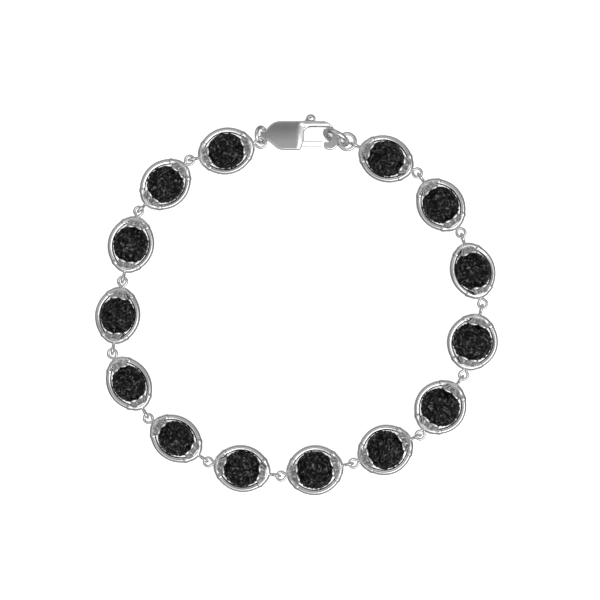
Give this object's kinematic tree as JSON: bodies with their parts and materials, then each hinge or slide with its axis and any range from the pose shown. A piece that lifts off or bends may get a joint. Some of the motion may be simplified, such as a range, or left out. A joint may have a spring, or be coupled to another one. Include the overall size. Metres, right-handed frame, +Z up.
{
  "type": "rudraksha bead bracelet",
  "caption": "Bracelet of rough black rudraksha beads in oval silver wire frames with petal caps, closed by a lobster clasp, lying flat in a loop.",
  "frame": {"origin": "middle of the bracelet's outline seen from above, on the surface that it lies on", "axes": "+Z up out of the surface, +Y towards the clasp, +X along the clasp from its neck to its nose"},
  "size_m": [0.0754, 0.0714, 0.0069],
  "materials": {
    "polished_silver": "bright polished silver with fine handling marks and darker recesses",
    "rudraksha_seed": "dyed black seed, satin, with a rough convoluted surface"
  },
  "bodies": {
    "bracelet": {"bead_01": "rudraksha_seed", "setting_01": "polished_silver", "pin_01": "polished_silver", "bead_02": "rudraksha_seed", "setting_02": "polished_silver", "pin_02": "polished_silver", "bead_03": "rudraksha_seed", "setting_03": "polished_silver", "pin_03": "polished_silver", "bead_04": "rudraksha_seed", "setting_04": "polished_silver", "pin_04": "polished_silver", "bead_05": "rudraksha_seed", "setting_05": "polished_silver", "pin_05": "polished_silver", "bead_06": "rudraksha_seed", "setting_06": "polished_silver", "pin_06": "polished_silver", "bead_07": "rudraksha_seed", "setting_07": "polished_silver", "pin_07": "polished_silver", "bead_08": "rudraksha_seed", "setting_08": "polished_silver", "pin_08": "polished_silver", "bead_09": "rudraksha_seed", "setting_09": "polished_silver", "pin_09": "polished_silver", "bead_10": "rudraksha_seed", "setting_10": "polished_silver", "pin_10": "polished_silver", "bead_11": "rudraksha_seed", "setting_11": "polished_silver", "pin_11": "polished_silver", "bead_12": "rudraksha_seed", "setting_12": "polished_silver", "pin_12": "polished_silver", "bead_13": "rudraksha_seed", "setting_13": "polished_silver", "pin_13": "polished_silver", "bead_14": "rudraksha_seed", "setting_14": "polished_silver", "pin_14": "polished_silver", "clasp_body": "polished_silver", "clasp_rivet": "polished_silver", "clasp_jump_ring": "polished_silver", "end_ring": "polished_silver", "link_ring": "polished_silver"},
    "lever": {"clasp_lever": "polished_silver"}
  },
  "joints": [
    {"name": "clasp_gate", "type": "hinge", "parent": "bracelet", "child": "lever", "pos_m": [-0.00016, 0.03084, 0.00215], "axis": [0, 0, 1], "range_deg": [0, 25], "stiffness_Nm_per_rad": 0.002, "springref_deg": -17.19}
  ]
}
